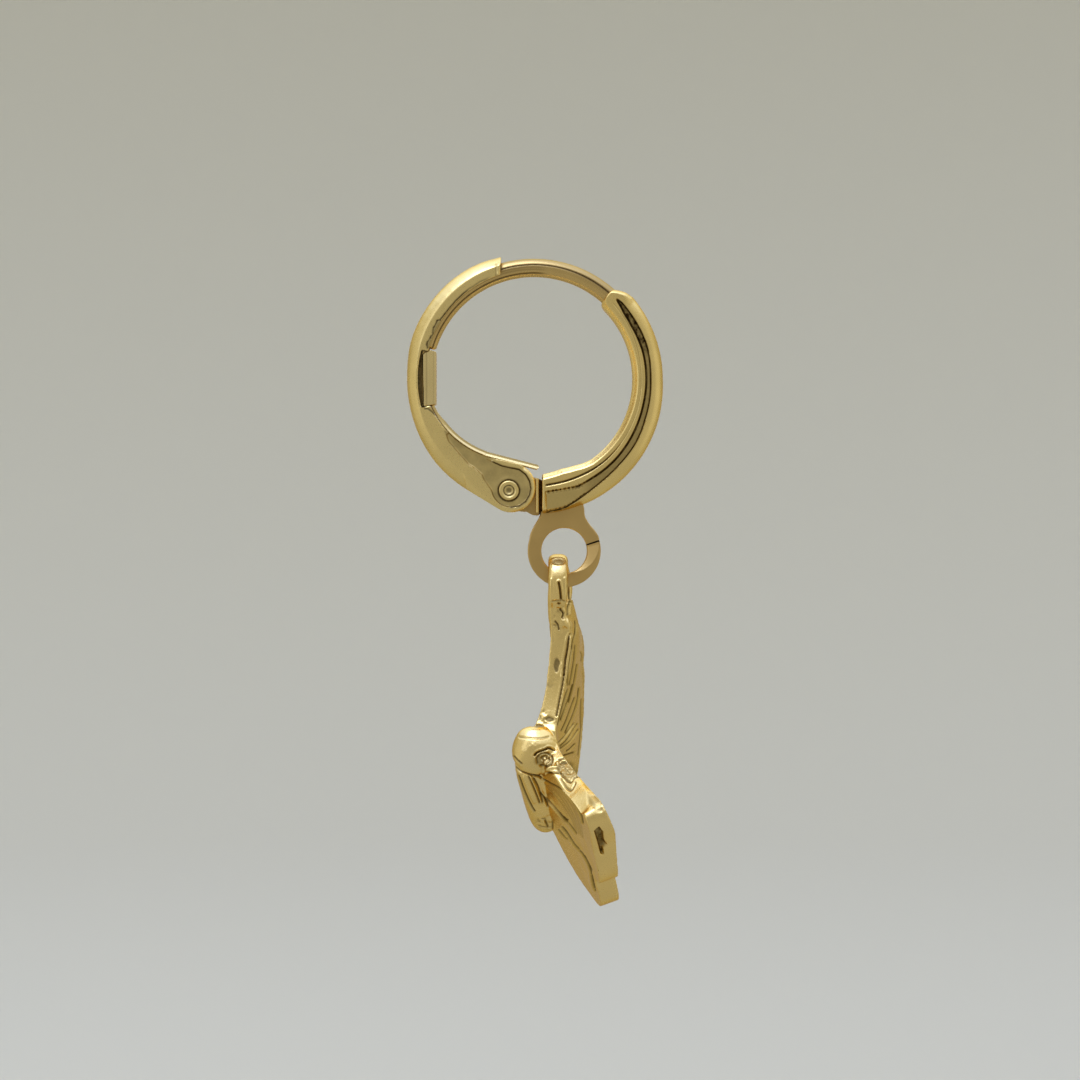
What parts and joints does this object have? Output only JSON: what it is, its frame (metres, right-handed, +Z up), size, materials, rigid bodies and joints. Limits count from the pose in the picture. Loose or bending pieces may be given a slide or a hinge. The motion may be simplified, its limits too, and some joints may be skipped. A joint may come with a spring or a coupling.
{
  "type": "butterfly hoop earring",
  "caption": "Small leverback hoop earring with a round ear wire, and a cast butterfly with veined wings swinging from a charm ring below.",
  "frame": {"origin": "centre of the ear wire at the top of the hoop, where the earring hangs in the ear", "axes": "+Z up, +X towards the hoop's front arm, Y across the hoop, so the hoop lies in the XZ plane"},
  "size_m": [0.014, 0.0158, 0.0353],
  "materials": {
    "front_arm": "polished gold plate",
    "lever": "polished gold plate",
    "spring_leaf": "bright gold plate",
    "hinge_pin": "bright gold plate",
    "butterfly": "cast and tumbled gold plate"
  },
  "bodies": {
    "front": {"front_arm": "front_arm"},
    "clasp": {"lever": "lever", "spring_leaf": "spring_leaf", "hinge_pin": "hinge_pin"},
    "drop": {"butterfly": "butterfly"}
  },
  "joints": [
    {"name": "lever_hinge", "type": "hinge", "parent": "front", "child": "clasp", "pos_m": [-0.00136, 0, -0.01213], "axis": [0, -1, 0], "range_deg": [0, 65]},
    {"name": "butterfly_swing", "type": "hinge", "parent": "front", "child": "drop", "pos_m": [0.00131, 0, -0.01698], "axis": [1, 0, 0], "range_deg": [-75, 75]}
  ]
}
